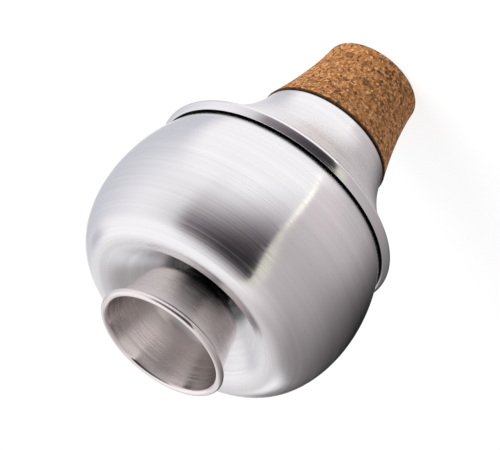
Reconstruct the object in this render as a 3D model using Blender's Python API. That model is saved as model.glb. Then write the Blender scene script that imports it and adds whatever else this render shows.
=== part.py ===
# Wah-wah mute for a trumpet: a spun metal bubble and flared neck, a cork ring on the
# neck, and a stem that slides along the axis in a sleeve in the bubble's dimple.
#
# The mute stands on the small end of its cork with the stem upwards. The Z axis is the
# axis of every turned piece, and Z = 0 is the small end of the cork.
# Sizes are in millimetres and become metres when a profile is turned.

from math import cos, pi, radians, sin, sqrt, tan

import bmesh
import bpy
from mathutils import Vector
from mathutils.geometry import interpolate_bezier

MM = 0.001

# Facets round the axis of every turned piece, and along the curves of the profiles
SEGMENTS = 48
CORK_STEPS = 4
CORK_EDGE_STEPS = 3
FLARE_STEPS = 8
CORNER_STEPS = 2
BUBBLE_SIDE_STEPS = 5
BUBBLE_SHOULDER_STEPS = 8
FOLD_STEPS = 3
FUNNEL_STEPS = 5
CUP_BOWL_STEPS = 7
CUP_BEAD_STEPS = 8

# Two facets that meet at a sharper angle than this show an edge
SHARP_EDGE_ANGLE = 35.0

# Clearances between pieces
FIT_GAP = 0.3
STEM_CLEARANCE = 0.1
SEAM_GAP = 0.45

# Cork ring: it flares from the small end to the wide end
CORK_LENGTH = 33.7
CORK_SMALL_RADIUS = 18.8
CORK_WIDE_RADIUS = 25.7
CORK_FLARE_POWER = 1.6
CORK_THICKNESS = 2.0
CORK_EDGE_ROUND = 1.0

# Neck: its end lies back from the cork's end, and the cork stands proud of the bare neck.
# The flare's angles are from the axis, and each pull says how far it holds its angle.
NECK_SHEET = 0.8
NECK_END_RECESS = 1.0
CORK_PROUD = 0.5
NECK_LENGTH = 31.8
NECK_START_ANGLE = 12.0
NECK_START_PULL = 14.0
NECK_FLARE_ANGLE = 52.5
NECK_FLARE_PULL = 11.0
NECK_STEP_ROUND = 0.3

# Rim band of the neck, which laps over the edge of the bubble and is drawn in to trap it
BAND_HEIGHT = 3.5
BAND_DRAFT = 1.2
BAND_CORNER_ROUND = 0.9

# Bubble: side arc from the seam to the widest place, then an ellipse to the crest of the fold
BUBBLE_RADIUS = 50.6
BUBBLE_SIDE_ROUND = 60.0
SEAM_TO_EQUATOR = 25.3
EQUATOR_TO_CREST = 28.7
BUBBLE_SHEET = 0.8
FLANGE_CORNER_ROUND = 0.6

# Dimple: the fold turns in over its crest, down a funnel that takes the cup, across a flat
# floor and into a collar round the sleeve. The crest stands clear of the cup's bead by the
# crest room. The funnel's angle is from the floor, and its pulls are as the neck's.
CREST_ROOM = 10.1
FOLD_ROUND = 9.0
DIMPLE_DEPTH = 17.0
FUNNEL_ANGLE = 44.0
FUNNEL_PULL = 9.0
FUNNEL_TOE_PULL = 1.8
DIMPLE_FLOOR_MARGIN = 0.9
COLLAR_MOUTH_ROUND = 1.2
COLLAR_LENGTH = 6.0

# Sleeve that guides the stem
SLEEVE_WALL = 0.8
SLEEVE_LENGTH = 20.0
SLEEVE_FLANGE = 2.2
SLEEVE_MOUTH_CHAMFER = 0.3

# Stem tube
TUBE_RADIUS = 8.0
TUBE_WALL = 0.8
TUBE_LENGTH = 59.0

# Stem cup: a socket on the tube, a rounded bowl, a straight flared wall and a rolled bead.
# Its angles and pulls are as the neck's, and the bead's curl ends at an angle from +radius.
CUP_SHEET = 0.8
CUP_HEIGHT = 29.75
CUP_BORE_RADIUS = 22.0
CUP_SOCKET_LENGTH = 3.0
CUP_BOWL_HEIGHT = 9.2
CUP_BOWL_ANGLE = 48.0
CUP_BOWL_PULL = 4.5
CUP_WALL_ANGLE = 13.0
CUP_WALL_PULL = 3.5
CUP_BEAD_RADIUS = 1.35
CUP_CURL_END = -75.0


# Profile helpers: a profile is a list of (radius, height) points

def arc(centre, radius, start, end, steps, height_radius=None):
    """Points on an arc or, with height_radius, on an ellipse; angles in degrees from +radius."""
    tall = height_radius if height_radius is not None else radius
    points = []
    for i in range(steps + 1):
        angle = radians(start + (end - start) * i / steps)
        points.append((centre[0] + radius * cos(angle), centre[1] + tall * sin(angle)))
    return points


def curve(start, start_angle, start_pull, end, end_angle, end_pull, steps):
    """Points on a Bezier curve; its angles are measured from the axis, outwards."""
    a = Vector((start[0], start[1], 0.0))
    b = Vector((end[0], end[1], 0.0))
    lead = Vector((sin(radians(start_angle)), cos(radians(start_angle)), 0.0)) * start_pull
    trail = Vector((sin(radians(end_angle)), cos(radians(end_angle)), 0.0)) * end_pull
    points = interpolate_bezier(a, a + lead, b - trail, b, steps + 1)
    return [(p.x, p.y) for p in points]


def offset(points, distance):
    """The line shifted to its left by a distance, with mitred corners."""
    line = [Vector(p) for p in points]
    shifted = []
    for i, here in enumerate(line):
        before = (here - line[max(i - 1, 0)]).normalized()
        after = (line[min(i + 1, len(line) - 1)] - here).normalized()
        if before.length == 0.0:
            before = after
        if after.length == 0.0:
            after = before
        left = Vector((-before.y - after.y, before.x + after.x)).normalized()
        turn = left.dot(Vector((-before.y, before.x)))
        shifted.append(tuple(here + left * (distance / turn)))
    return shifted


def rounded(before, corner, after, reach):
    """Points that round a corner between two straight stretches, from reach away on each."""
    middle = Vector(corner)
    start = middle + (Vector(before) - middle).normalized() * reach
    end = middle + (Vector(after) - middle).normalized() * reach
    points = []
    for i in range(CORNER_STEPS + 1):
        t = i / CORNER_STEPS
        points.append(tuple(start * (1 - t) ** 2 + middle * 2 * t * (1 - t) + end * t ** 2))
    return points


def material(name, colour, roughness, metallic):
    made = bpy.data.materials.new(name)
    made.use_nodes = True
    shader = made.node_tree.nodes["Principled BSDF"]
    shader.inputs["Base Color"].default_value = (*colour, 1.0)
    shader.inputs["Roughness"].default_value = roughness
    shader.inputs["Metallic"].default_value = metallic
    return made


def turned(name, profile, finish, datum=0.0, parent=None):
    """Spins a closed profile about Z. The object stands at height datum on the axis."""
    mesh = bpy.data.meshes.new(name)
    bm = bmesh.new()
    loop = [bm.verts.new((r * MM, 0.0, (z - datum) * MM)) for r, z in profile]
    edges = [bm.edges.new((a, b)) for a, b in zip(loop, loop[1:] + loop[:1])]
    bmesh.ops.spin(
        bm,
        geom=loop + edges,
        cent=(0.0, 0.0, 0.0),
        axis=(0.0, 0.0, 1.0),
        angle=2.0 * pi,
        steps=SEGMENTS,
        use_merge=True,
        use_normal_flip=False,
    )
    bmesh.ops.recalc_face_normals(bm, faces=bm.faces)
    bm.to_mesh(mesh)
    bm.free()
    mesh.shade_smooth()
    mesh.set_sharp_from_angle(angle=radians(SHARP_EDGE_ANGLE))
    mesh.materials.append(finish)
    made = bpy.data.objects.new(name, mesh)
    bpy.context.scene.collection.objects.link(made)
    made.parent = parent
    made.location = (0.0, 0.0, 0.0 if parent else datum * MM)
    return made


# Places along the axis, worked out from the sizes above

NECK_STEP_HEIGHT = CORK_LENGTH + FIT_GAP
BARE_NECK_RADIUS = CORK_WIDE_RADIUS - CORK_PROUD
BAND_CORNER_HEIGHT = NECK_STEP_HEIGHT + NECK_LENGTH
LIP_HEIGHT = BAND_CORNER_HEIGHT + BAND_HEIGHT
EQUATOR_HEIGHT = LIP_HEIGHT + SEAM_TO_EQUATOR
CREST_HEIGHT = EQUATOR_HEIGHT + EQUATOR_TO_CREST
DIMPLE_FLOOR_HEIGHT = CREST_HEIGHT - DIMPLE_DEPTH
SLEEVE_TOP = DIMPLE_FLOOR_HEIGHT + FIT_GAP + SLEEVE_WALL
STEM_SEAT = SLEEVE_TOP + FIT_GAP

# Radii that follow from the pieces that fit in each other

SLEEVE_BORE = TUBE_RADIUS + STEM_CLEARANCE
SLEEVE_RADIUS = SLEEVE_BORE + SLEEVE_WALL
SLEEVE_FLANGE_RADIUS = SLEEVE_RADIUS + SLEEVE_FLANGE
COLLAR_RADIUS = SLEEVE_RADIUS + FIT_GAP
DIMPLE_FLOOR_RADIUS = SLEEVE_FLANGE_RADIUS + DIMPLE_FLOOR_MARGIN
CREST_RADIUS = CUP_BORE_RADIUS + 2.0 * CUP_BEAD_RADIUS + CREST_ROOM


def bubble_side_radius(height):
    """Outer radius of the bubble's side between the seam and the widest place."""
    rise = EQUATOR_HEIGHT - height
    return BUBBLE_RADIUS - BUBBLE_SIDE_ROUND + sqrt(BUBBLE_SIDE_ROUND ** 2 - rise ** 2)


LIP_INNER_RADIUS = bubble_side_radius(LIP_HEIGHT) + SEAM_GAP
LIP_RADIUS = LIP_INNER_RADIUS + NECK_SHEET
BAND_RADIUS = LIP_RADIUS + BAND_DRAFT


def cork_radius(height):
    """Outer radius of the cork, flaring towards its wide end like the bell it seats in."""
    share = height / CORK_LENGTH
    return CORK_SMALL_RADIUS + (CORK_WIDE_RADIUS - CORK_SMALL_RADIUS) * share ** CORK_FLARE_POWER


# Cork ring

def cork_profile():
    heights = [CORK_LENGTH * i / CORK_STEPS for i in range(1, CORK_STEPS + 1)]
    edge_centre = (CORK_SMALL_RADIUS - CORK_EDGE_ROUND, CORK_EDGE_ROUND)
    outside = arc(edge_centre, CORK_EDGE_ROUND, -90.0, 0.0, CORK_EDGE_STEPS)
    outside += [(cork_radius(z), z) for z in heights]
    inside = [(cork_radius(z) - CORK_THICKNESS, z) for z in reversed(heights)]
    inside.append((CORK_SMALL_RADIUS - CORK_THICKNESS, 0.0))
    return outside + inside


# Neck shell: cork seat, step, flare and rim band from one sheet

def neck_lines():
    """The neck's bare face with its two rounded corners, and the same line with sharp ones."""
    seat = []
    for i in range(CORK_STEPS + 1):
        z = NECK_END_RECESS + (NECK_STEP_HEIGHT - NECK_END_RECESS) * i / CORK_STEPS
        seat.append((cork_radius(min(z, CORK_LENGTH)) - CORK_THICKNESS - FIT_GAP, z))
    step = (BARE_NECK_RADIUS, NECK_STEP_HEIGHT)
    corner = (BAND_RADIUS, BAND_CORNER_HEIGHT)
    lip = (LIP_RADIUS, LIP_HEIGHT)
    flare = curve(
        step,
        NECK_START_ANGLE,
        NECK_START_PULL,
        corner,
        NECK_FLARE_ANGLE,
        NECK_FLARE_PULL,
        FLARE_STEPS,
    )
    bare = seat + rounded(seat[-1], step, flare[1], NECK_STEP_ROUND) + flare[1:-1]
    bare += rounded(flare[-2], corner, lip, BAND_CORNER_ROUND) + [lip]
    return bare, seat + flare + [lip]


def neck_profile():
    bare, sharp = neck_lines()
    return bare + offset(sharp, NECK_SHEET)[::-1]


# Bubble shell: flange under the band, side, fold, funnel, floor and collar from one sheet

def bubble_flange():
    """The outer end of the bubble's flange, on its upper face, in the corner of the band."""
    corner = offset(neck_lines()[1], NECK_SHEET + FIT_GAP)[-2]
    draft = BUBBLE_SHEET * BAND_DRAFT / BAND_HEIGHT
    return corner[0] - draft, corner[1] + BUBBLE_SHEET


def bubble_profile():
    flange = bubble_flange()
    rise = (EQUATOR_HEIGHT - flange[1]) / BUBBLE_SIDE_STEPS
    heights = [flange[1] + rise * i for i in range(BUBBLE_SIDE_STEPS)]
    side = [(bubble_side_radius(z), z) for z in heights]
    bare = [flange] + rounded(flange, side[0], side[1], FLANGE_CORNER_ROUND) + side[1:]
    bare += arc(
        (CREST_RADIUS, EQUATOR_HEIGHT),
        BUBBLE_RADIUS - CREST_RADIUS,
        0.0,
        90.0,
        BUBBLE_SHOULDER_STEPS,
        height_radius=EQUATOR_TO_CREST,
    )
    fold_centre = (CREST_RADIUS, CREST_HEIGHT - FOLD_ROUND)
    bare += arc(fold_centre, FOLD_ROUND, 90.0, 90.0 + FUNNEL_ANGLE, FOLD_STEPS)[1:]
    bare += curve(
        bare[-1],
        270.0 - FUNNEL_ANGLE,
        FUNNEL_PULL,
        (DIMPLE_FLOOR_RADIUS, DIMPLE_FLOOR_HEIGHT),
        270.0,
        FUNNEL_TOE_PULL,
        FUNNEL_STEPS,
    )[1:]
    mouth_radius = COLLAR_RADIUS + COLLAR_MOUTH_ROUND
    mouth_centre = (mouth_radius, DIMPLE_FLOOR_HEIGHT - COLLAR_MOUTH_ROUND)
    bare += arc(mouth_centre, COLLAR_MOUTH_ROUND, 90.0, 180.0, CORNER_STEPS)
    bare.append((COLLAR_RADIUS, DIMPLE_FLOOR_HEIGHT - COLLAR_LENGTH))
    return bare + offset(bare, BUBBLE_SHEET)[::-1]


# Stem sleeve: a plain tube with a flange on the dimple's floor

def sleeve_profile():
    flange_base = DIMPLE_FLOOR_HEIGHT + FIT_GAP
    foot = SLEEVE_TOP - SLEEVE_LENGTH
    return [
        (SLEEVE_BORE, foot),
        (SLEEVE_RADIUS, foot),
        (SLEEVE_RADIUS, flange_base),
        (SLEEVE_FLANGE_RADIUS, flange_base),
        (SLEEVE_FLANGE_RADIUS, SLEEVE_TOP),
        (SLEEVE_BORE + SLEEVE_MOUTH_CHAMFER, SLEEVE_TOP),
        (SLEEVE_BORE, SLEEVE_TOP - SLEEVE_MOUTH_CHAMFER),
    ]


# Stem tube: it runs in the sleeve, and its upper end sits in the cup's socket

def tube_profile():
    top = STEM_SEAT + CUP_SOCKET_LENGTH
    bore = TUBE_RADIUS - TUBE_WALL
    return [
        (bore, top - TUBE_LENGTH),
        (TUBE_RADIUS, top - TUBE_LENGTH),
        (TUBE_RADIUS, top),
        (bore, top),
    ]


# Stem cup: socket, bowl, flared wall and a bead rolled outwards, all from one sheet

def cup_profile():
    half_sheet = CUP_SHEET / 2.0
    socket_radius = TUBE_RADIUS + FIT_GAP + half_sheet
    socket_top = (socket_radius, STEM_SEAT + CUP_SOCKET_LENGTH)
    bead_height = STEM_SEAT + CUP_HEIGHT - CUP_BEAD_RADIUS
    bead_centre = (CUP_BORE_RADIUS + CUP_BEAD_RADIUS, bead_height)
    curl = arc(
        bead_centre,
        CUP_BEAD_RADIUS - half_sheet,
        180.0 - CUP_WALL_ANGLE,
        CUP_CURL_END,
        CUP_BEAD_STEPS,
    )
    wall_foot_height = socket_top[1] + CUP_BOWL_HEIGHT
    wall_draft = (curl[0][1] - wall_foot_height) * tan(radians(CUP_WALL_ANGLE))
    wall_foot = (curl[0][0] - wall_draft, wall_foot_height)
    bowl = curve(
        socket_top,
        CUP_BOWL_ANGLE,
        CUP_BOWL_PULL,
        wall_foot,
        CUP_WALL_ANGLE,
        CUP_WALL_PULL,
        CUP_BOWL_STEPS,
    )
    middle = [(socket_radius, STEM_SEAT)] + bowl + curl
    return offset(middle, -half_sheet) + offset(middle, half_sheet)[::-1]


def build():
    for old in list(bpy.data.objects):
        bpy.data.objects.remove(old)

    aluminium = material("spun_aluminium", (0.80, 0.79, 0.80), 0.28, 1.0)
    satin = material("satin_aluminium", (0.70, 0.67, 0.64), 0.40, 1.0)
    cork = material("agglomerated_cork", (0.50, 0.27, 0.12), 0.90, 0.0)

    turned("neck_cork", cork_profile(), cork)
    turned("neck_shell", neck_profile(), aluminium)
    turned("bubble_shell", bubble_profile(), aluminium)
    turned("stem_sleeve", sleeve_profile(), satin, datum=SLEEVE_TOP)

    stem_axis = bpy.data.objects.new("stem_axis", None)
    stem_axis.location = (0.0, 0.0, STEM_SEAT * MM)
    bpy.context.scene.collection.objects.link(stem_axis)
    turned("stem_tube", tube_profile(), satin, datum=STEM_SEAT, parent=stem_axis)
    turned("stem_cup", cup_profile(), satin, datum=STEM_SEAT, parent=stem_axis)


build()
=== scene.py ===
# Looks of the wah-wah mute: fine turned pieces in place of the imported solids, spun
# aluminium and cork materials, a studio round the mute, and the camera.
#
# Lengths are in millimetres until a profile is turned. A profile is a list of
# (radius, height) points, and the Z axis is the axis of every piece.

from math import cos, pi, radians, sin, sqrt, tan
from typing import NamedTuple

import bmesh
import bpy
from mathutils import Matrix, Vector
from mathutils.geometry import interpolate_bezier


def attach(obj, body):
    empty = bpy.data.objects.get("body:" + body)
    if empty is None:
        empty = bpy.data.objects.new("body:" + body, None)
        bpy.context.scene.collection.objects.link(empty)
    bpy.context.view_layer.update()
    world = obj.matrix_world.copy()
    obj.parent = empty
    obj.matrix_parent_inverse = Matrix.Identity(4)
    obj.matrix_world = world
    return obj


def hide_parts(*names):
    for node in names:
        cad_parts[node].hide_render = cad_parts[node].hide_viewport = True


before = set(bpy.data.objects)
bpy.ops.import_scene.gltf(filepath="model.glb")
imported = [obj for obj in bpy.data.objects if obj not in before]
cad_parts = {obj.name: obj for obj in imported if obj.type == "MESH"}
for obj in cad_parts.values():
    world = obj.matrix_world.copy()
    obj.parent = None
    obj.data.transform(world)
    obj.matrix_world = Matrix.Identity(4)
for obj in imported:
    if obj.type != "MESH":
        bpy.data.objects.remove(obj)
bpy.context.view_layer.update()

MM = 0.001

# Facets round the axis, and points on each kind of curve
SEGMENTS = 240
CURVE_STEPS = 28
CORNER_STEPS = 6

# Clearances between pieces
FIT_GAP = 0.3
STEM_CLEARANCE = 0.1
SEAM_GAP = 0.45

# Cork ring
CORK_LENGTH = 33.7
CORK_SMALL_RADIUS = 18.8
CORK_WIDE_RADIUS = 25.7
CORK_FLARE_POWER = 1.6
CORK_THICKNESS = 2.0
CORK_EDGE_ROUND = 1.0
CORK_WIDE_EDGE_ROUND = 0.35

# Neck shell
NECK_SHEET = 0.8
NECK_END_RECESS = 1.0
CORK_PROUD = 0.5
NECK_LENGTH = 31.8
NECK_START_ANGLE = 12.0
NECK_START_PULL = 14.0
NECK_FLARE_ANGLE = 52.5
NECK_FLARE_PULL = 11.0
NECK_STEP_ROUND = 0.3
BAND_HEIGHT = 3.5
BAND_DRAFT = 1.2
BAND_CORNER_ROUND = 0.9
LIP_EDGE_ROUND = 0.3

# Bubble shell
BUBBLE_RADIUS = 50.6
BUBBLE_SIDE_ROUND = 60.0
SEAM_TO_EQUATOR = 25.3
EQUATOR_TO_CREST = 28.7
BUBBLE_SHEET = 0.8
FLANGE_CORNER_ROUND = 0.6
CREST_ROOM = 10.1
FOLD_ROUND = 9.0
DIMPLE_DEPTH = 17.0
FUNNEL_ANGLE = 44.0
FUNNEL_PULL = 9.0
FUNNEL_TOE_PULL = 1.8
DIMPLE_FLOOR_MARGIN = 0.9
COLLAR_MOUTH_ROUND = 1.2
COLLAR_LENGTH = 6.0

# Sleeve, tube and cup of the stem
SLEEVE_WALL = 0.8
SLEEVE_LENGTH = 20.0
SLEEVE_FLANGE = 2.2
EDGE_CHAMFER = 0.25
TUBE_RADIUS = 8.0
TUBE_WALL = 0.8
TUBE_LENGTH = 59.0
CUP_SHEET = 0.8
CUP_HEIGHT = 29.75
CUP_BORE_RADIUS = 22.0
CUP_SOCKET_LENGTH = 3.0
CUP_BOWL_HEIGHT = 9.2
CUP_BOWL_ANGLE = 48.0
CUP_BOWL_PULL = 4.5
CUP_WALL_ANGLE = 13.0
CUP_WALL_PULL = 3.5
CUP_BEAD_RADIUS = 1.35
CUP_CURL_END = -75.0

# Places and radii that follow from the sizes above
NECK_STEP_HEIGHT = CORK_LENGTH + FIT_GAP
BARE_NECK_RADIUS = CORK_WIDE_RADIUS - CORK_PROUD
BAND_CORNER_HEIGHT = NECK_STEP_HEIGHT + NECK_LENGTH
LIP_HEIGHT = BAND_CORNER_HEIGHT + BAND_HEIGHT
EQUATOR_HEIGHT = LIP_HEIGHT + SEAM_TO_EQUATOR
CREST_HEIGHT = EQUATOR_HEIGHT + EQUATOR_TO_CREST
DIMPLE_FLOOR_HEIGHT = CREST_HEIGHT - DIMPLE_DEPTH
SLEEVE_TOP = DIMPLE_FLOOR_HEIGHT + FIT_GAP + SLEEVE_WALL
STEM_SEAT = SLEEVE_TOP + FIT_GAP
SLEEVE_BORE = TUBE_RADIUS + STEM_CLEARANCE
SLEEVE_RADIUS = SLEEVE_BORE + SLEEVE_WALL
SLEEVE_FLANGE_RADIUS = SLEEVE_RADIUS + SLEEVE_FLANGE
COLLAR_RADIUS = SLEEVE_RADIUS + FIT_GAP
DIMPLE_FLOOR_RADIUS = SLEEVE_FLANGE_RADIUS + DIMPLE_FLOOR_MARGIN
CREST_RADIUS = CUP_BORE_RADIUS + 2.0 * CUP_BEAD_RADIUS + CREST_ROOM


# Profile helpers

def arc(centre, radius, start, end, steps, height_radius=None):
    """Points on an arc or, with height_radius, on an ellipse; angles in degrees from +radius."""
    tall = height_radius if height_radius is not None else radius
    points = []
    for i in range(steps + 1):
        angle = radians(start + (end - start) * i / steps)
        points.append((centre[0] + radius * cos(angle), centre[1] + tall * sin(angle)))
    return points


def curve(start, start_angle, start_pull, end, end_angle, end_pull, steps):
    """Points on a Bezier curve; its angles are measured from the axis, outwards."""
    a = Vector((start[0], start[1], 0.0))
    b = Vector((end[0], end[1], 0.0))
    lead = Vector((sin(radians(start_angle)), cos(radians(start_angle)), 0.0)) * start_pull
    trail = Vector((sin(radians(end_angle)), cos(radians(end_angle)), 0.0)) * end_pull
    points = interpolate_bezier(a, a + lead, b - trail, b, steps + 1)
    return [(p.x, p.y) for p in points]


def offset(points, distance):
    """The line shifted to its left by a distance, with mitred corners."""
    line = [Vector(p) for p in points]
    shifted = []
    for i, here in enumerate(line):
        before = (here - line[max(i - 1, 0)]).normalized()
        after = (line[min(i + 1, len(line) - 1)] - here).normalized()
        if before.length == 0.0:
            before = after
        if after.length == 0.0:
            after = before
        left = Vector((-before.y - after.y, before.x + after.x)).normalized()
        turn = left.dot(Vector((-before.y, before.x)))
        shifted.append(tuple(here + left * (distance / turn)))
    return shifted


def rounded(before, corner, after, reach):
    """Points that round a corner between two straight stretches, from reach away on each."""
    middle = Vector(corner)
    start = middle + (Vector(before) - middle).normalized() * reach
    end = middle + (Vector(after) - middle).normalized() * reach
    points = []
    for i in range(CORNER_STEPS + 1):
        t = i / CORNER_STEPS
        points.append(tuple(start * (1 - t) ** 2 + middle * 2 * t * (1 - t) + end * t ** 2))
    return points


def softened(profile, corners, reach):
    """The closed profile with the corners at these places in it rounded."""
    count = len(profile)
    places = {place % count for place in corners}
    points = []
    for i, here in enumerate(profile):
        if i in places:
            points += rounded(profile[i - 1], here, profile[(i + 1) % count], reach)
        else:
            points.append(here)
    return points


def bubble_side_radius(height):
    rise = EQUATOR_HEIGHT - height
    return BUBBLE_RADIUS - BUBBLE_SIDE_ROUND + sqrt(BUBBLE_SIDE_ROUND ** 2 - rise ** 2)


LIP_RADIUS = bubble_side_radius(LIP_HEIGHT) + SEAM_GAP + NECK_SHEET
BAND_RADIUS = LIP_RADIUS + BAND_DRAFT


def cork_radius(height):
    share = height / CORK_LENGTH
    return CORK_SMALL_RADIUS + (CORK_WIDE_RADIUS - CORK_SMALL_RADIUS) * share ** CORK_FLARE_POWER


# Profiles of the pieces

def cork_profile():
    edge_centre = (CORK_SMALL_RADIUS - CORK_EDGE_ROUND, CORK_EDGE_ROUND)
    outside = arc(edge_centre, CORK_EDGE_ROUND, -90.0, 0.0, CORNER_STEPS)
    top = CORK_LENGTH - CORK_WIDE_EDGE_ROUND
    rise = top - CORK_EDGE_ROUND
    heights = [CORK_EDGE_ROUND + rise * i / CURVE_STEPS for i in range(1, CURVE_STEPS + 1)]
    outside += [(cork_radius(z), z) for z in heights]
    wide_edge = (cork_radius(top) - CORK_WIDE_EDGE_ROUND, top)
    outside += arc(wide_edge, CORK_WIDE_EDGE_ROUND, 0.0, 90.0, CORNER_STEPS)[1:]
    inside = [(cork_radius(CORK_LENGTH) - CORK_THICKNESS, CORK_LENGTH)]
    inside += [(cork_radius(z) - CORK_THICKNESS, z) for z in reversed(heights)]
    inside.append((CORK_SMALL_RADIUS - CORK_THICKNESS, 0.0))
    return outside + inside


def neck_lines():
    """The neck's bare face with its two rounded corners, and the same line with sharp ones."""
    seat = []
    for i in range(CURVE_STEPS + 1):
        z = NECK_END_RECESS + (NECK_STEP_HEIGHT - NECK_END_RECESS) * i / CURVE_STEPS
        seat.append((cork_radius(min(z, CORK_LENGTH)) - CORK_THICKNESS - FIT_GAP, z))
    step = (BARE_NECK_RADIUS, NECK_STEP_HEIGHT)
    corner = (BAND_RADIUS, BAND_CORNER_HEIGHT)
    lip = (LIP_RADIUS, LIP_HEIGHT)
    flare = curve(
        step,
        NECK_START_ANGLE,
        NECK_START_PULL,
        corner,
        NECK_FLARE_ANGLE,
        NECK_FLARE_PULL,
        CURVE_STEPS,
    )
    bare = seat + rounded(seat[-1], step, flare[1], NECK_STEP_ROUND) + flare[1:-1]
    bare += rounded(flare[-2], corner, lip, BAND_CORNER_ROUND) + [lip]
    return bare, seat + flare + [lip]


def neck_profile():
    bare, sharp = neck_lines()
    lip = len(bare) - 1
    return softened(bare + offset(sharp, NECK_SHEET)[::-1], (lip, lip + 1), LIP_EDGE_ROUND)


def bubble_profile():
    corner = offset(neck_lines()[1], NECK_SHEET + FIT_GAP)[-2]
    draft = BUBBLE_SHEET * BAND_DRAFT / BAND_HEIGHT
    flange = (corner[0] - draft, corner[1] + BUBBLE_SHEET)
    rise = (EQUATOR_HEIGHT - flange[1]) / CURVE_STEPS
    heights = [flange[1] + rise * i for i in range(CURVE_STEPS)]
    side = [(bubble_side_radius(z), z) for z in heights]
    bare = [flange] + rounded(flange, side[0], side[1], FLANGE_CORNER_ROUND) + side[1:]
    bare += arc(
        (CREST_RADIUS, EQUATOR_HEIGHT),
        BUBBLE_RADIUS - CREST_RADIUS,
        0.0,
        90.0,
        CURVE_STEPS,
        height_radius=EQUATOR_TO_CREST,
    )
    fold_centre = (CREST_RADIUS, CREST_HEIGHT - FOLD_ROUND)
    bare += arc(fold_centre, FOLD_ROUND, 90.0, 90.0 + FUNNEL_ANGLE, CURVE_STEPS // 2)[1:]
    bare += curve(
        bare[-1],
        270.0 - FUNNEL_ANGLE,
        FUNNEL_PULL,
        (DIMPLE_FLOOR_RADIUS, DIMPLE_FLOOR_HEIGHT),
        270.0,
        FUNNEL_TOE_PULL,
        CURVE_STEPS,
    )[1:]
    mouth_radius = COLLAR_RADIUS + COLLAR_MOUTH_ROUND
    mouth_centre = (mouth_radius, DIMPLE_FLOOR_HEIGHT - COLLAR_MOUTH_ROUND)
    bare += arc(mouth_centre, COLLAR_MOUTH_ROUND, 90.0, 180.0, CORNER_STEPS)
    bare.append((COLLAR_RADIUS, DIMPLE_FLOOR_HEIGHT - COLLAR_LENGTH))
    return bare + offset(bare, BUBBLE_SHEET)[::-1]


def sleeve_profile():
    flange_base = DIMPLE_FLOOR_HEIGHT + FIT_GAP
    foot = SLEEVE_TOP - SLEEVE_LENGTH
    profile = [
        (SLEEVE_BORE, foot),
        (SLEEVE_RADIUS, foot),
        (SLEEVE_RADIUS, flange_base),
        (SLEEVE_FLANGE_RADIUS, flange_base),
        (SLEEVE_FLANGE_RADIUS, SLEEVE_TOP),
        (SLEEVE_BORE, SLEEVE_TOP),
    ]
    return softened(profile, (0, 1, 4, 5), EDGE_CHAMFER)


def tube_profile():
    top = STEM_SEAT + CUP_SOCKET_LENGTH
    bore = TUBE_RADIUS - TUBE_WALL
    foot = top - TUBE_LENGTH
    profile = [(bore, foot), (TUBE_RADIUS, foot), (TUBE_RADIUS, top), (bore, top)]
    return softened(profile, (0, 1, 2, 3), EDGE_CHAMFER)


def cup_profile():
    half_sheet = CUP_SHEET / 2.0
    socket_radius = TUBE_RADIUS + FIT_GAP + half_sheet
    socket_top = (socket_radius, STEM_SEAT + CUP_SOCKET_LENGTH)
    bead_height = STEM_SEAT + CUP_HEIGHT - CUP_BEAD_RADIUS
    curl = arc(
        (CUP_BORE_RADIUS + CUP_BEAD_RADIUS, bead_height),
        CUP_BEAD_RADIUS - half_sheet,
        180.0 - CUP_WALL_ANGLE,
        CUP_CURL_END,
        CURVE_STEPS,
    )
    wall_foot_height = socket_top[1] + CUP_BOWL_HEIGHT
    wall_draft = (curl[0][1] - wall_foot_height) * tan(radians(CUP_WALL_ANGLE))
    wall_foot = (curl[0][0] - wall_draft, wall_foot_height)
    bowl = curve(
        socket_top,
        CUP_BOWL_ANGLE,
        CUP_BOWL_PULL,
        wall_foot,
        CUP_WALL_ANGLE,
        CUP_WALL_PULL,
        CURVE_STEPS,
    )
    middle = [(socket_radius, STEM_SEAT)] + bowl + curl
    foot = len(middle) - 1
    profile = offset(middle, -half_sheet) + offset(middle, half_sheet)[::-1]
    return softened(profile, (0, foot, foot + 1, -1), EDGE_CHAMFER)


# Turning

SHARP_EDGE_ANGLE = 50.0


def turned(name, profile, finish, replaced, body):
    """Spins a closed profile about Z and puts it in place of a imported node."""
    mesh = bpy.data.meshes.new(name)
    bm = bmesh.new()
    loop = [bm.verts.new((r * MM, 0.0, z * MM)) for r, z in profile]
    edges = [bm.edges.new((a, b)) for a, b in zip(loop, loop[1:] + loop[:1])]
    bmesh.ops.spin(
        bm,
        geom=loop + edges,
        cent=(0.0, 0.0, 0.0),
        axis=(0.0, 0.0, 1.0),
        angle=2.0 * pi,
        steps=SEGMENTS,
        use_merge=True,
        use_normal_flip=False,
    )
    bmesh.ops.recalc_face_normals(bm, faces=bm.faces)
    bm.to_mesh(mesh)
    bm.free()
    mesh.shade_smooth()
    mesh.set_sharp_from_angle(angle=radians(SHARP_EDGE_ANGLE))
    mesh.materials.append(finish)
    piece = bpy.data.objects.new(name, mesh)
    bpy.context.scene.collection.objects.link(piece)
    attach(piece, body)
    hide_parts(replaced)


# Node trees

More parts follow.
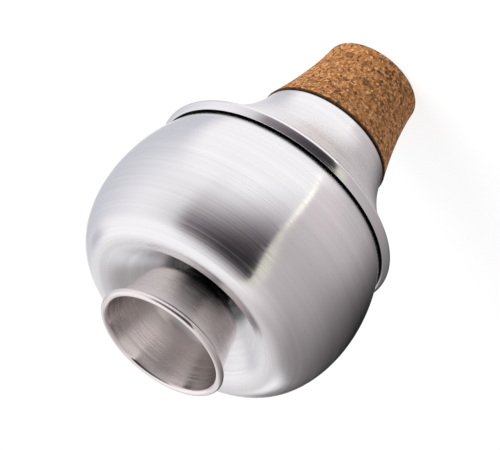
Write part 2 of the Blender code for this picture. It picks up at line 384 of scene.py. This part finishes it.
class Graph:
    """A node tree with short calls to add nodes and join them."""

    def __init__(self, tree):
        self.tree = tree

    def add(self, kind, **settings):
        made = self.tree.nodes.new(kind)
        for name, value in settings.items():
            setattr(made, name, value)
        return made

    def feed(self, target, value):
        """Links a socket to the target, or sets the target to a plain value."""
        if isinstance(value, bpy.types.NodeSocket):
            self.tree.links.new(value, target)
        else:
            target.default_value = value

    def math(self, operation, *values):
        made = self.add("ShaderNodeMath", operation=operation)
        for target, value in zip(made.inputs, values):
            self.feed(target, value)
        return made.outputs[0]

    def product(self, *values):
        result = values[0]
        for value in values[1:]:
            result = self.math("MULTIPLY", result, value)
        return result

    def vector_math(self, operation, *values):
        made = self.add("ShaderNodeVectorMath", operation=operation)
        for target, value in zip(made.inputs, values):
            self.feed(target, value)
        return made.outputs["Value" if operation == "DOT_PRODUCT" else "Vector"]

    def scaled(self, vector, factor):
        made = self.add("ShaderNodeVectorMath", operation="SCALE")
        self.feed(made.inputs[0], vector)
        self.feed(made.inputs["Scale"], factor)
        return made.outputs["Vector"]

    def split(self, vector):
        """The three parts of a vector."""
        made = self.add("ShaderNodeSeparateXYZ")
        self.feed(made.inputs[0], vector)
        return list(made.outputs)

    def ramp(self, value, start, end, low=0.0, high=1.0, soft=True):
        """Goes from low to high as the value goes from start to end."""
        kind = "SMOOTHSTEP" if soft else "LINEAR"
        made = self.add("ShaderNodeMapRange", interpolation_type=kind, clamp=True)
        for place, number in enumerate((value, start, end, low, high)):
            self.feed(made.inputs[place], number)
        return made.outputs[0]

    def ramp_mm(self, value, start, end, low=0.0, high=1.0):
        """A soft ramp over a length, with its start and end in millimetres."""
        return self.ramp(value, start * MM, end * MM, low, high)

    def mix(self, factor, first, second, kind="RGBA"):
        """Mixes two colours or, with the kind FLOAT, two values."""
        made = self.add("ShaderNodeMix", data_type=kind)
        self.feed(made.inputs["Factor"], factor)
        self.feed(made.inputs["A"], first)
        self.feed(made.inputs["B"], second)
        return made.outputs["Result"]

    def noise(self, vector, scale, detail, roughness, output="Fac"):
        made = self.add("ShaderNodeTexNoise")
        self.feed(made.inputs["Vector"], vector)
        made.inputs["Scale"].default_value = scale
        made.inputs["Detail"].default_value = detail
        made.inputs["Roughness"].default_value = roughness
        return made.outputs[output]


def opaque(colour):
    return (*colour, 1.0)


def new_material(name):
    made = bpy.data.materials.new(name)
    made.use_nodes = True
    return made, Graph(made.node_tree), made.node_tree.nodes["Principled BSDF"]


def place_on_axis(graph):
    """The shaded point's place, its radius and height, and its angle round the axis."""
    place = graph.add("ShaderNodeTexCoord").outputs["Object"]
    x, y, z = graph.split(place)
    radius = graph.math("SQRT", graph.math("ADD", graph.product(x, x), graph.product(y, y)))
    return place, radius, z, graph.math("ARCTAN2", y, x)


# Spun metal. Broad lines lie among the fine ones. Both change along their length, which
# the turn sets, and clouds of haze lie over them. A noise is its detail and roughness, and
# a span is the part of a noise over which something goes from none to full.

LINE_TURN = 0.6
FINE_NOISE = (3.0, 0.6)
SOFT_NOISE = (3.0, 0.55)
FINE_SPAN = (0.35, 0.65)
BROAD_SPAN = (0.3, 0.7)
HAZE_SPAN = (0.35, 0.7)
LINE_ROUGHNESS = (0.6, 1.5)
BROAD_LINES_SCALE = 0.3
BROAD_LINES_SHARE = 0.4
BROAD_LINES_TINT = 0.94
HAZE_SCALE = 45.0
BRUSHED_ROUND_AXIS = 0.25
# Near-black that the base colour is mixed towards, for painted shade and for duller metal
SHADE_AND_DULLING = (0.02, 0.02, 0.02)


def spun_metal(name, colour, finish, lines, zones):
    """
    Metal with the fine lines that spinning leaves round the axis.

    finish: roughness, anisotropy and haze. lines: their pitch and depth, in metres.
    zones: says where the metal is rougher, where painted shade and duller metal darken it, how far
    the shaded face leans, as a height in metres, and how deep the lines are there.
    """
    made, graph, shader = new_material(name)
    place, radius, height, angle = place_on_axis(graph)
    roughness, anisotropy, haze = finish
    pitch, depth = lines
    along = graph.add("ShaderNodeCombineXYZ")
    graph.feed(along.inputs[0], radius)
    graph.feed(along.inputs[1], height)
    graph.feed(along.inputs[2], graph.product(angle, pitch * LINE_TURN))
    fine = graph.noise(along.outputs[0], 1.0 / pitch, *FINE_NOISE)
    broad = graph.noise(along.outputs[0], BROAD_LINES_SCALE / pitch, *SOFT_NOISE)
    cloud = graph.noise(place, HAZE_SCALE, *SOFT_NOISE)
    rough_zone, shade_and_dulling_zone, lean, line_share = zones(graph, place, radius, height)

    low, high = (roughness * share for share in LINE_ROUGHNESS)
    lined = graph.ramp(fine, *FINE_SPAN, low, high, soft=False)
    hazed = graph.product(graph.ramp(cloud, *HAZE_SPAN), haze)
    rough = graph.math("ADD", graph.math("ADD", lined, hazed), rough_zone)
    graph.feed(shader.inputs["Roughness"], rough)
    darker = [part * BROAD_LINES_TINT for part in colour]
    tint = graph.mix(graph.ramp(broad, *BROAD_SPAN), opaque(colour), opaque(darker))
    # Painted shade and duller metal: the zones mix the base colour towards near-black
    graph.feed(shader.inputs["Base Color"], graph.mix(shade_and_dulling_zone, tint, opaque(SHADE_AND_DULLING)))
    shader.inputs["Metallic"].default_value = 1.0
    shader.inputs["Anisotropic"].default_value = anisotropy
    shader.inputs["Anisotropic Rotation"].default_value = BRUSHED_ROUND_AXIS
    tangent = graph.add("ShaderNodeTangent", direction_type="RADIAL", axis="Z")
    graph.feed(shader.inputs["Tangent"], tangent.outputs[0])

    relief = graph.math("ADD", fine, graph.product(broad, BROAD_LINES_SHARE))
    relief = graph.product(relief, graph.math("MULTIPLY", line_share, depth))
    bump = graph.add("ShaderNodeBump")
    bump.inputs["Strength"].default_value = 1.0
    bump.inputs["Distance"].default_value = 1.0
    graph.feed(bump.inputs["Height"], graph.math("ADD", relief, lean))
    graph.feed(shader.inputs["Normal"], bump.outputs[0])
    return made


# Zones of the metals. Two bounds limit each side of a zone: it is empty at the first and
# full at the second. A reach, rise, drop or width is in millimetres.

# The dimple's finish, out from the crest's radius and up from the equator
DIMPLE_REACH = (3.0, -5.0)
DIMPLE_RISE = (5.0, 10.0)
DIMPLE_ROUGH = 0.16
DIMPLE_LINES = 0.15
DIMPLE_LEAN = 0.21
DIMPLE_LEAN_REACH = 12.0

# Painted shade deep in the dimple round the sleeve, up from its floor and out from the axis
DIMPLE_FLOOR_SHADE_RISE = (6.0, 1.0)
DIMPLE_FLOOR_SHADE_REACH = (21.0, 16.0)
DIMPLE_FLOOR_SHADE = 0.85

# Painted shade on the dimple's front wall, which the cup mirrors as a dark reflection. The side is
# -1 at the very front.
FRONT_SHADE_RISE = (14.0, 8.0)
FRONT_SHADE_REACH = (32.0, 26.0)
FRONT_SHADE_SIDE = (-0.60, -0.97)
FRONT_SHADE = 0.97

# Painted shade above the seam, and painted shade with a dark glue line beside the cork, which is
# full at a share of its width
SEAM_SHADE_WIDTH = 0.6
CORK_GAP_SHADE_WIDTH = 0.8
SHADE_FULL = 0.4

# The neck's flare, down from the corner of its band, and the band's lean in degrees
FLARE_ROUGH_DROP = (1.0, 3.0)
FLARE_ROUGH = 0.10
FLARE_FOOT_DROP = (16.0, 6.0)
FLARE_FOOT_ROUGH = 0.10
BAND_LEAN = 12.0
BAND_LEAN_START = 0.6
NECK_LINES = 0.4

# The cup, up from its seat, and the sleeve. The upward part of a face's direction finds
# the bowl's underside, where shade is painted, and its outward part times the radius finds the cup's
# inside.
CUP_SHADE_RISE = (12.0, 1.0)
CUP_SHADE = 0.95
CUP_SHADE_UPWARD = (-0.05, -0.20)
CUP_INSIDE_OUTWARD = (0.0, -3.0)
CUP_INSIDE_EDGE = 1.0
CUP_INSIDE_DULL = 0.12
CUP_INSIDE_ROUGH = 0.07
CUP_BOWL_RISE = (17.5, 12.5)
CUP_BOWL_ROUGH = 0.25
SLEEVE_ROUGH = 0.1
SLEEVE_DARKENING = 0.93


def bubble_zones(graph, place, radius, height):
    """The dimple is rougher and flatter, and painted shade lies in it and beside the seam."""
    crest, equator, floor = CREST_RADIUS, EQUATOR_HEIGHT, DIMPLE_FLOOR_HEIGHT
    top = graph.ramp_mm(height, *[equator + rise for rise in DIMPLE_RISE])
    inner = graph.ramp_mm(radius, *[crest + reach for reach in DIMPLE_REACH])
    dimple = graph.product(inner, top)
    rough = graph.product(dimple, DIMPLE_ROUGH)
    line_share = graph.mix(dimple, 1.0, DIMPLE_LINES, kind="FLOAT")

    inwards = graph.math("MAXIMUM", graph.math("SUBTRACT", crest * MM, radius), 0.0)
    slope = graph.ramp_mm(inwards, 0.0, DIMPLE_LEAN_REACH, 0.0, DIMPLE_LEAN)
    lean = graph.product(inwards, slope, top)

    # painted shade of the gap just above the seam with the neck
    full = LIP_HEIGHT + SHADE_FULL * SEAM_SHADE_WIDTH
    seam_shade = graph.ramp_mm(height, LIP_HEIGHT + SEAM_SHADE_WIDTH, full)
    # painted shade deep in the dimple, on every side of the sleeve
    low = graph.ramp_mm(height, *[floor + rise for rise in DIMPLE_FLOOR_SHADE_RISE], 0.0, DIMPLE_FLOOR_SHADE)
    sleeve_floor_shade = graph.product(low, graph.ramp_mm(radius, *DIMPLE_FLOOR_SHADE_REACH))
    # painted shade on the dimple's front wall only
    side = graph.math("DIVIDE", graph.split(place)[1], radius)
    front = graph.product(
        graph.ramp_mm(height, *[floor + rise for rise in FRONT_SHADE_RISE], 0.0, FRONT_SHADE),
        graph.ramp_mm(radius, *FRONT_SHADE_REACH),
        graph.ramp(side, *FRONT_SHADE_SIDE),
    )
    shade_in_dimple = graph.math("MAXIMUM", sleeve_floor_shade, front)
    return rough, graph.math("MAXIMUM", seam_shade, shade_in_dimple), lean, line_share


def neck_zones(graph, place, radius, height):
    """The flare is rougher than the band, whose face leans, and has painted shade with a dark glue
    line beside the cork.
    """
    corner, step = BAND_CORNER_HEIGHT, NECK_STEP_HEIGHT
    flare = graph.ramp_mm(height, *[corner - drop for drop in FLARE_ROUGH_DROP])
    foot = graph.ramp_mm(height, *[corner - drop for drop in FLARE_FOOT_DROP], 0.0, FLARE_FOOT_ROUGH)
    rough = graph.product(flare, graph.math("ADD", foot, FLARE_ROUGH))
    # painted shade of the gap beside the cork, with a dark glue line
    full = step + SHADE_FULL * CORK_GAP_SHADE_WIDTH
    cork_gap_shade = graph.ramp_mm(height, step + CORK_GAP_SHADE_WIDTH, full)
    up_band = graph.math("SUBTRACT", height, (corner + BAND_LEAN_START) * MM)
    lean = graph.product(graph.math("MAXIMUM", up_band, 0.0), -tan(radians(BAND_LEAN)))
    return rough, cork_gap_shade, lean, NECK_LINES


def stem_zones(graph, place, radius, height):
    """The cup is duller and rougher inside, and has painted shade under its bowl."""
    normal = graph.add("ShaderNodeTexCoord").outputs["Normal"]
    # painted shade on the underside of the cup's bowl, low on the cup
    shade_under_bowl = graph.product(
        graph.ramp_mm(height, *[STEM_SEAT + rise for rise in CUP_SHADE_RISE], 0.0, CUP_SHADE),
        graph.ramp(graph.split(normal)[2], *CUP_SHADE_UPWARD),
    )
    spoke = graph.vector_math("MULTIPLY", place, (1.0, 1.0, 0.0))
    outward = graph.vector_math("DOT_PRODUCT", normal, spoke)
    bead_foot = STEM_SEAT + CUP_HEIGHT - 2.0 * CUP_BEAD_RADIUS
    inside = graph.product(
        graph.ramp_mm(outward, *CUP_INSIDE_OUTWARD),
        graph.ramp_mm(height, bead_foot, bead_foot - CUP_INSIDE_EDGE),
    )
    bowl = [STEM_SEAT + rise for rise in CUP_BOWL_RISE]
    rough = graph.product(inside, graph.ramp_mm(height, *bowl, CUP_INSIDE_ROUGH, CUP_BOWL_ROUGH))
    dull = graph.product(inside, CUP_INSIDE_DULL)
    return rough, graph.math("MAXIMUM", shade_under_bowl, dull), 0.0, 1.0


def sleeve_zones(graph, place, radius, height):
    """The sleeve is darkened all over."""
    return SLEEVE_ROUGH, SLEEVE_DARKENING, 0.0, 1.0


# Cork. A scale is about the number of grains, bends, specks or flecks to the metre, and
# each colour is laid over the ones before it.

CORK_GRAIN_SCALE = 1020.0
CORK_BEND_SCALE = 700.0
CORK_BEND = 0.0009
CORK_SPECK_SCALE = 1650.0
CORK_FLECK_SCALE = 3800.0
CORK_TONES = (
    (0.00, (0.08, 0.033, 0.011)),
    (0.14, (0.20, 0.081, 0.025)),
    (0.40, (0.34, 0.145, 0.047)),
    (0.75, (0.46, 0.208, 0.074)),
    (1.00, (0.62, 0.305, 0.122)),
)
CORK_SPECK_COLOUR = (0.07, 0.028, 0.012)
CORK_CRACK_COLOUR = (0.10, 0.042, 0.016)
CORK_FLECK_COLOUR = (0.75, 0.41, 0.18)
# Near-black at the cork's wide edge: painted shade of the gap at the neck, with a dark glue line
CORK_EDGE_SHADE_COLOUR = (0.03, 0.015, 0.008)
CORK_SPECK_SHARE = 0.8
CORK_CRACK_SHARE = 0.55
CORK_FLECK_SHARE = 0.35
CORK_EDGE_SHADE_SHARE = 0.85
CORK_EDGE_SHADE_DROP = (0.9, 0.3)
CORK_NOISE = (2.0, 0.5)
CORK_SPECK_NOISE = (3.0, 0.6)
CORK_FLECK_NOISE = (2.0, 0.6)
CORK_SPECK_SPAN = (0.60, 0.70)
CORK_FLECK_SPAN = (0.55, 0.75)
CORK_CRACK_SPAN = (0.10, 0.0)
CORK_FLECK_RELIEF = 0.4
CORK_RELIEF_STRENGTH = 0.9
CORK_RELIEF = 0.00012
CORK_ROUGHNESS = 0.85
CORK_SHINE = 0.3


def cork_material(name):
    """Agglomerated cork: pressed granules in several browns, dark bark specks and pits, and painted
    shade with a dark glue line at its wide edge.
    """
    made, graph, shader = new_material(name)
    place, _, height, _ = place_on_axis(graph)
    bend = graph.noise(place, CORK_BEND_SCALE, *CORK_NOISE, output="Color")
    bend = graph.vector_math("SUBTRACT", bend, (0.5, 0.5, 0.5))
    warped = graph.vector_math("ADD", place, graph.scaled(bend, CORK_BEND))

    grains = graph.add("ShaderNodeTexVoronoi", feature="F1")
    borders = graph.add("ShaderNodeTexVoronoi", feature="DISTANCE_TO_EDGE")
    for cells in (grains, borders):
        graph.feed(cells.inputs["Vector"], warped)
        cells.inputs["Scale"].default_value = CORK_GRAIN_SCALE
    pick = graph.add("ShaderNodeSeparateColor")
    graph.feed(pick.inputs[0], grains.outputs["Color"])
    tones = graph.add("ShaderNodeValToRGB")
    elements = tones.color_ramp.elements
    for i, (where, colour) in enumerate(CORK_TONES):
        stop = elements[i] if i < 2 else elements.new(where)
        stop.position = where
        stop.color = opaque(colour)
    graph.feed(tones.inputs[0], pick.outputs[0])

    coarse = graph.noise(place, CORK_SPECK_SCALE, *CORK_SPECK_NOISE)
    specks = graph.ramp(coarse, *CORK_SPECK_SPAN, 0.0, CORK_SPECK_SHARE)
    cracks = graph.ramp(borders.outputs["Distance"], *CORK_CRACK_SPAN)
    fine = graph.noise(place, CORK_FLECK_SCALE, *CORK_FLECK_NOISE)
    flecks = graph.ramp(fine, *CORK_FLECK_SPAN, 0.0, CORK_FLECK_SHARE)
    # the wide edge darkens: painted shade of the gap at the neck, with a dark glue line
    edge = [CORK_LENGTH - drop for drop in CORK_EDGE_SHADE_DROP]
    colour = tones.outputs[0]
    for mask, laid in (
        (specks, CORK_SPECK_COLOUR),
        (graph.product(cracks, CORK_CRACK_SHARE), CORK_CRACK_COLOUR),
        (flecks, CORK_FLECK_COLOUR),
        (graph.ramp_mm(height, *edge, 0.0, CORK_EDGE_SHADE_SHARE), CORK_EDGE_SHADE_COLOUR),
    ):
        colour = graph.mix(mask, colour, opaque(laid))
    graph.feed(shader.inputs["Base Color"], colour)
    shader.inputs["Roughness"].default_value = CORK_ROUGHNESS
    shader.inputs["Specular IOR Level"].default_value = CORK_SHINE

    relief = graph.math("SUBTRACT", graph.product(fine, CORK_FLECK_RELIEF), cracks)
    relief = graph.math("SUBTRACT", relief, specks)
    bump = graph.add("ShaderNodeBump")
    bump.inputs["Strength"].default_value = CORK_RELIEF_STRENGTH
    bump.inputs["Distance"].default_value = CORK_RELIEF
    graph.feed(bump.inputs["Height"], relief)
    graph.feed(shader.inputs["Normal"], bump.outputs[0])
    return made


# The studio: a white surround with soft cards, a grey screen, and a narrow bright gap
# along the screen's edge. Directions are azimuth from +X and elevation, in degrees.

WHITE_LIGHT = (1.05, 1.02, 1.04)
SKY_CUT = 20.0


class Card(NamedTuple):
    """A soft rectangle of light: its aim and roll, its half size, and its edges' softness."""

    light: tuple
    azimuth: float
    elevation: float
    roll: float
    half_width: float
    half_height: float
    left: float
    right: float
    low: float
    high: float


SIDE_CARD = Card((0.64, 0.64, 0.70), 40, -20, -25, 31, 32, 48, 5, 8, 18)

# A dark wedge, a light patch and a grey one for the two sides of the dimple, and a low
# white card
SCREEN_CARDS = (
    Card((0.012, 0.010, 0.012), 132, -24, -86, 23, 28, 33, 16, 4, 47),
    Card((0.98, 0.96, 0.99), 111, 17, 0, 10, 10, 9, 9, 9, 9),
    Card((0.55, 0.54, 0.60), 63, 13, 0, 9, 9, 8, 8, 8, 8),
    Card(WHITE_LIGHT, 300, -80, 0, 20, 20, 5, 5, 5, 5),
)

# The dark cards beyond the screen's edge, from the palest to the black one in its middle
DARK_CARDS = (
    Card((0.28, 0.215, 0.27), 270, 31, 12, 49, 19, 7, 8, 38, 17),
    Card((0.145, 0.108, 0.138), 241, 26, -7, 43, 50, 46, 30, 44, 32),
    Card((0.02, 0.02, 0.02), 266, 34, 2, 45, 26, 36, 54, 38, 14),
)

# The screen is paler low down, high up and towards its far end
SCREEN_TINT = (1.06, 0.97, 1.0)
SCREEN_GREY = 0.265
SCREEN_LOW_RISE = 0.21
SCREEN_LOW_SPAN = (-12.0, -62.0)
SCREEN_HIGH_RISE = 0.245
SCREEN_HIGH_SPAN = (25.0, 65.0)
SCREEN_FAR_RISE = 0.24
SCREEN_FAR_SPAN = (150.0, 240.0)
SCREEN_START = (50.0, 147.0)
SCREEN_END = (250.0, 300.0)
SCREEN_TOP = (57.0, 87.0)

# The screen's edge is furthest round at one elevation and bends back above and below it
EDGE_AZIMUTH = 254.0
EDGE_BEND_ELEVATION = -15.0
EDGE_BEND = 0.0035
EDGE_SOFT = 0.7

# The gap widens and fades as it rises; its shares of the width are where it starts and
# where it is full
GAP_LOW_LIGHT = (1.45, 1.40, 1.28)
GAP_HIGH_LIGHT = (0.72, 0.70, 0.63)
GAP_FADE = (-42.0, -10.0)
GAP_WIDTH = (3.5, 12.5)
GAP_WIDENS = (-25.0, 30.0)
GAP_SHARES = (-1.4, -0.5)
GAP_START = (195.0, 225.0)


def card_frame(card):
    """Aim, sideways and up directions of a card, turned by the roll about its aim."""
    side, rise = radians(card.azimuth), radians(card.elevation)
    aim = Vector((cos(rise) * cos(side), cos(rise) * sin(side), sin(rise)))
    across = Vector((-sin(side), cos(side), 0.0))
    turn = Matrix.Rotation(radians(card.roll), 3, aim)
    return aim, turn @ across, turn @ aim.cross(across)


def card_mask(graph, direction, card):
    """1 inside the card's soft rectangle of directions and 0 outside it."""
    along = [graph.vector_math("DOT_PRODUCT", direction, axis) for axis in card_frame(card)]
    x = graph.math("DEGREES", graph.math("ARCTAN2", along[1], along[0]))
    y = graph.math("DEGREES", graph.math("ARCSINE", along[2]))
    return graph.product(
        graph.ramp(x, -card.half_width - card.left, -card.half_width + card.left),
        graph.ramp(x, card.half_width + card.right, card.half_width - card.right),
        graph.ramp(y, -card.half_height - card.low, -card.half_height + card.low),
        graph.ramp(y, card.half_height + card.high, card.half_height - card.high),
    )


def azimuth_and_elevation(graph, direction):
    """Both in degrees. The azimuth runs from SKY_CUT to a full turn beyond it."""
    turn = graph.add("ShaderNodeVectorRotate", rotation_type="Z_AXIS")
    graph.feed(turn.inputs["Vector"], direction)
    turn.inputs["Angle"].default_value = -radians(SKY_CUT + 180.0)
    x, y, z = graph.split(turn.outputs[0])
    around = graph.math("DEGREES", graph.math("ARCTAN2", y, x))
    azimuth = graph.math("ADD", around, SKY_CUT + 180.0)
    return azimuth, graph.math("DEGREES", graph.math("ARCSINE", z))


def screen_light(graph, azimuth, elevation):
    low = graph.ramp(elevation, *SCREEN_LOW_SPAN, SCREEN_GREY, SCREEN_GREY + SCREEN_LOW_RISE)
    high = graph.ramp(elevation, *SCREEN_HIGH_SPAN, 0.0, SCREEN_HIGH_RISE)
    far = graph.ramp(azimuth, *SCREEN_FAR_SPAN, 0.0, SCREEN_FAR_RISE)
    return graph.scaled(SCREEN_TINT, graph.math("ADD", graph.math("ADD", low, high), far))


def gap_mask(graph, azimuth, elevation, from_edge, before):
    width = graph.ramp(elevation, *GAP_WIDENS, *GAP_WIDTH)
    start, full = (graph.product(width, share) for share in GAP_SHARES)
    return graph.product(graph.ramp(from_edge, start, full), before, graph.ramp(azimuth, *GAP_START))


def build_sky():
    world = bpy.data.worlds.new("studio")
    bpy.context.scene.world = world
    world.use_nodes = True
    graph = Graph(world.node_tree)
    direction = graph.add("ShaderNodeTexCoord").outputs["Generated"]
    azimuth, elevation = azimuth_and_elevation(graph, direction)

    bend = graph.math("POWER", graph.math("SUBTRACT", elevation, EDGE_BEND_ELEVATION), 2.0)
    from_edge = graph.math("SUBTRACT", azimuth, EDGE_AZIMUTH)
    from_edge = graph.math("ADD", from_edge, graph.product(bend, EDGE_BEND))
    beyond = graph.ramp(from_edge, -EDGE_SOFT, EDGE_SOFT)
    before = graph.math("SUBTRACT", 1.0, beyond)
    screen = graph.product(
        before,
        graph.ramp(azimuth, *SCREEN_START),
        graph.ramp(azimuth, *SCREEN_END, 1.0, 0.0),
        graph.ramp(elevation, *SCREEN_TOP, 1.0, 0.0),
    )

    side = card_mask(graph, direction, SIDE_CARD)
    light = graph.mix(side, opaque(WHITE_LIGHT), opaque(SIDE_CARD.light))
    light = graph.mix(screen, light, screen_light(graph, azimuth, elevation))
    for card in SCREEN_CARDS:
        light = graph.mix(card_mask(graph, direction, card), light, opaque(card.light))
    for card in DARK_CARDS:
        mask = graph.product(card_mask(graph, direction, card), beyond)
        light = graph.mix(mask, light, opaque(card.light))
    gap = gap_mask(graph, azimuth, elevation, from_edge, before)
    fade = graph.ramp(elevation, *GAP_FADE)
    gap_light = graph.mix(fade, opaque(GAP_LOW_LIGHT), opaque(GAP_HIGH_LIGHT))
    light = graph.mix(gap, light, gap_light)

    studio = world.node_tree.nodes["Background"]
    graph.feed(studio.inputs["Color"], light)
    plain = graph.add("ShaderNodeBackground")
    plain.inputs["Color"].default_value = opaque((1.0, 1.0, 1.0))
    seen = graph.add("ShaderNodeMixShader")
    graph.feed(seen.inputs[0], graph.add("ShaderNodeLightPath").outputs["Is Camera Ray"])
    graph.feed(seen.inputs[1], studio.outputs[0])
    graph.feed(seen.inputs[2], plain.outputs[0])
    graph.feed(world.node_tree.nodes["World Output"].inputs[0], seen.outputs[0])


# Floor: it glows almost white, takes soft shadows, and isn't mirrored in the metal. Its
# half side and its drop below the mute are in metres, as are the lamp's and the camera's
# places.

FLOOR_HALF = 3.0
FLOOR_DROP = 0.0003
FLOOR_GLOW = 0.86
FLOOR_SHADE_SHARE = 0.2


def build_floor():
    around = ((-1, -1), (1, -1), (1, 1), (-1, 1))
    corners = [(x * FLOOR_HALF, y * FLOOR_HALF, -FLOOR_DROP) for x, y in around]
    mesh = bpy.data.meshes.new("floor")
    mesh.from_pydata(corners, [], [(0, 1, 2, 3)])
    made, graph, shader = new_material("floor_white")
    graph.tree.nodes.remove(shader)
    diffuse = graph.add("ShaderNodeBsdfDiffuse")
    diffuse.inputs["Color"].default_value = opaque((FLOOR_SHADE_SHARE,) * 3)
    glow = graph.add("ShaderNodeEmission")
    glow.inputs["Strength"].default_value = FLOOR_GLOW
    both = graph.add("ShaderNodeAddShader")
    graph.feed(both.inputs[0], diffuse.outputs[0])
    graph.feed(both.inputs[1], glow.outputs[0])
    graph.feed(graph.tree.nodes["Material Output"].inputs[0], both.outputs[0])
    mesh.materials.append(made)
    floor = bpy.data.objects.new("floor", mesh)
    bpy.context.scene.collection.objects.link(floor)
    floor.visible_glossy = False


# Lamp: a soft one for the cork and the floor, which the metal doesn't mirror

LAMP_PLACE = (0.98, -0.44, 0.50)
LAMP_TARGET = (0.0, 0.0, 0.05)
LAMP_SIDE = 0.7
LAMP_POWER = 16.0


def build_lamp():
    lamp = bpy.data.lights.new("key_lamp", "AREA")
    lamp.shape = "SQUARE"
    lamp.size = LAMP_SIDE
    lamp.energy = LAMP_POWER
    made = bpy.data.objects.new("key_lamp", lamp)
    made.location = LAMP_PLACE
    made.rotation_mode = "QUATERNION"
    made.rotation_quaternion = (Vector(LAMP_TARGET) - Vector(LAMP_PLACE)).to_track_quat("-Z", "Y")
    made.visible_glossy = False
    made.visible_camera = False
    bpy.context.scene.collection.objects.link(made)


# Camera: it looks down on the mute and is rolled, as if the mute lay in the picture

CAMERA_PLACE = (0.0018, -0.7804, 0.5337)
CAMERA_DOWN = 30.235
CAMERA_ROLL = 218.87
CAMERA_LENS = 187.2
SENSOR_WIDTH = 36.0


def build_camera():
    data = bpy.data.cameras.new("camera")
    data.lens = CAMERA_LENS
    data.sensor_width = SENSOR_WIDTH
    camera = bpy.data.objects.new("camera", data)
    tilt = Matrix.Rotation(radians(90.0 - CAMERA_DOWN), 4, "X")
    roll = Matrix.Rotation(radians(CAMERA_ROLL), 4, "Z")
    camera.matrix_world = Matrix.Translation(CAMERA_PLACE) @ tilt @ roll
    bpy.context.scene.collection.objects.link(camera)
    bpy.context.scene.camera = camera


# Finishes: colour, then roughness, anisotropy and haze, then the lines' pitch and depth

ALUMINIUM = (0.90, 0.90, 0.905)
NECK_ALUMINIUM = (0.94, 0.94, 0.945)
STEM_ALUMINIUM = (0.93, 0.885, 0.865)
BUBBLE_FINISH = (0.15, 0.8, 0.04)
NECK_FINISH = (0.15, 0.7, 0.04)
STEM_FINISH = (0.18, 0.65, 0.04)
BODY_LINES = (0.0007, 0.0000210)
STEM_LINES = (0.0007, 0.0000007)

bubble_metal = spun_metal("spun_aluminium", ALUMINIUM, BUBBLE_FINISH, BODY_LINES, bubble_zones)
neck_metal = spun_metal("neck_aluminium", NECK_ALUMINIUM, NECK_FINISH, BODY_LINES, neck_zones)
sleeve_metal = spun_metal("sleeve_aluminium", STEM_ALUMINIUM, STEM_FINISH, STEM_LINES, sleeve_zones)
satin = spun_metal("satin_aluminium", STEM_ALUMINIUM, STEM_FINISH, STEM_LINES, stem_zones)
cork = cork_material("agglomerated_cork")

turned("cork_ring", cork_profile(), cork, "neck_cork", "mute_body")
turned("flared_neck", neck_profile(), neck_metal, "neck_shell", "mute_body")
turned("bubble", bubble_profile(), bubble_metal, "bubble_shell", "mute_body")
turned("guide_sleeve", sleeve_profile(), sleeve_metal, "stem_sleeve", "mute_body")
turned("stem_pipe", tube_profile(), satin, "stem_tube", "stem")
turned("wah_cup", cup_profile(), satin, "stem_cup", "stem")

build_sky()
build_floor()
build_lamp()
build_camera()
bpy.context.scene.view_settings.view_transform = "Standard"

bpy.context.view_layer.update()
